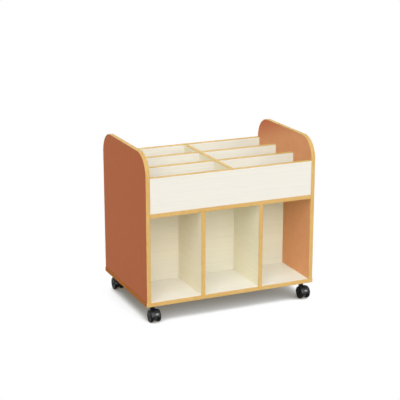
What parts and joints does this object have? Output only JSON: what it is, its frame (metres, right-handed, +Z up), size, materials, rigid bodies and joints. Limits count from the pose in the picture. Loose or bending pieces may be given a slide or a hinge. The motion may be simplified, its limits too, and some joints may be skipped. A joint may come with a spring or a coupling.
{
  "type": "book trolley",
  "caption": "Mobile book trolley with open-topped divided bins above open compartments on both long sides, rounded terracotta side panels, beech edges and hooded swivel castors.",
  "frame": {"origin": "on the floor, under the middle of the outline with the castors trailing to the front", "axes": "+Z up, +X along the long side to the right as seen from the front, -Y towards the front"},
  "size_m": [0.784, 0.534, 0.724],
  "materials": {
    "terracotta_board": "satin",
    "ivory_board": "satin",
    "beech_band": "satin",
    "black_nylon": "satin",
    "black_wheel": "satin",
    "zinc_steel": "satin"
  },
  "bodies": {
    "carcass": {"base_panel": "ivory_board", "base_edge_band": "beech_band", "side_panel_left": "terracotta_board", "side_panel_right": "terracotta_board", "side_edge_band_left": "beech_band", "side_edge_band_right": "beech_band", "middle_shelf": "ivory_board", "shelf_front_band": "beech_band", "shelf_rear_band": "beech_band", "box_front_panel": "ivory_board", "box_front_top_band": "beech_band", "box_rear_panel": "ivory_board", "box_rear_top_band": "beech_band", "box_long_divider_1": "ivory_board", "long_divider_1_band_left": "beech_band", "long_divider_1_band_right": "beech_band", "box_long_divider_2": "ivory_board", "long_divider_2_band_left": "beech_band", "long_divider_2_band_right": "beech_band", "box_cross_divider": "ivory_board", "cross_divider_band": "beech_band", "spine_panel": "ivory_board", "front_lower_divider_left": "ivory_board", "front_lower_divider_right": "ivory_board", "rear_lower_divider_left": "ivory_board", "rear_lower_divider_right": "ivory_board", "front_lower_divider_band_left": "beech_band", "front_lower_divider_band_right": "beech_band", "rear_lower_divider_band_left": "beech_band", "rear_lower_divider_band_right": "beech_band", "base_screw_left_front": "zinc_steel", "base_screw_left_middle": "zinc_steel", "base_screw_left_rear": "zinc_steel", "base_screw_right_front": "zinc_steel", "base_screw_right_middle": "zinc_steel", "base_screw_right_rear": "zinc_steel", "castor_front_left_insert": "zinc_steel", "castor_front_right_insert": "zinc_steel", "castor_rear_left_insert": "zinc_steel", "castor_rear_right_insert": "zinc_steel", "castor_front_left_stem": "zinc_steel", "castor_front_right_stem": "zinc_steel", "castor_rear_left_stem": "zinc_steel", "castor_rear_right_stem": "zinc_steel"},
    "castor_front_left": {"castor_front_left_hood": "black_nylon", "castor_front_left_axle": "zinc_steel"},
    "castor_front_right": {"castor_front_right_hood": "black_nylon", "castor_front_right_axle": "zinc_steel"},
    "castor_rear_left": {"castor_rear_left_hood": "black_nylon", "castor_rear_left_axle": "zinc_steel"},
    "castor_rear_right": {"castor_rear_right_hood": "black_nylon", "castor_rear_right_axle": "zinc_steel"},
    "front_left_wheel_left": {"castor_front_left_wheel_left": "black_wheel"},
    "front_left_wheel_right": {"castor_front_left_wheel_right": "black_wheel"},
    "front_right_wheel_left": {"castor_front_right_wheel_left": "black_wheel"},
    "front_right_wheel_right": {"castor_front_right_wheel_right": "black_wheel"},
    "rear_left_wheel_left": {"castor_rear_left_wheel_left": "black_wheel"},
    "rear_left_wheel_right": {"castor_rear_left_wheel_right": "black_wheel"},
    "rear_right_wheel_left": {"castor_rear_right_wheel_left": "black_wheel"},
    "rear_right_wheel_right": {"castor_rear_right_wheel_right": "black_wheel"}
  },
  "joints": [
    {"name": "front_left_swivel", "type": "hinge", "parent": "carcass", "child": "castor_front_left", "pos_m": [-0.354, -0.213, 0.055], "axis": [0, 0, 1], "continuous": true},
    {"name": "front_right_swivel", "type": "hinge", "parent": "carcass", "child": "castor_front_right", "pos_m": [0.354, -0.213, 0.055], "axis": [0, 0, 1], "continuous": true},
    {"name": "rear_left_swivel", "type": "hinge", "parent": "carcass", "child": "castor_rear_left", "pos_m": [-0.354, 0.231, 0.055], "axis": [0, 0, 1], "continuous": true},
    {"name": "rear_right_swivel", "type": "hinge", "parent": "carcass", "child": "castor_rear_right", "pos_m": [0.354, 0.231, 0.055], "axis": [0, 0, 1], "continuous": true},
    {"name": "front_left_roll_left", "type": "hinge", "parent": "castor_front_left", "child": "front_left_wheel_left", "pos_m": [-0.354, -0.2345, 0.025], "axis": [1, 0, 0], "continuous": true},
    {"name": "front_left_roll_right", "type": "hinge", "parent": "castor_front_left", "child": "front_left_wheel_right", "pos_m": [-0.354, -0.2345, 0.025], "axis": [1, 0, 0], "continuous": true},
    {"name": "front_right_roll_left", "type": "hinge", "parent": "castor_front_right", "child": "front_right_wheel_left", "pos_m": [0.354, -0.2345, 0.025], "axis": [1, 0, 0], "continuous": true},
    {"name": "front_right_roll_right", "type": "hinge", "parent": "castor_front_right", "child": "front_right_wheel_right", "pos_m": [0.354, -0.2345, 0.025], "axis": [1, 0, 0], "continuous": true},
    {"name": "rear_left_roll_left", "type": "hinge", "parent": "castor_rear_left", "child": "rear_left_wheel_left", "pos_m": [-0.354, 0.2095, 0.025], "axis": [1, 0, 0], "continuous": true},
    {"name": "rear_left_roll_right", "type": "hinge", "parent": "castor_rear_left", "child": "rear_left_wheel_right", "pos_m": [-0.354, 0.2095, 0.025], "axis": [1, 0, 0], "continuous": true},
    {"name": "rear_right_roll_left", "type": "hinge", "parent": "castor_rear_right", "child": "rear_right_wheel_left", "pos_m": [0.354, 0.2095, 0.025], "axis": [1, 0, 0], "continuous": true},
    {"name": "rear_right_roll_right", "type": "hinge", "parent": "castor_rear_right", "child": "rear_right_wheel_right", "pos_m": [0.354, 0.2095, 0.025], "axis": [1, 0, 0], "continuous": true}
  ]
}
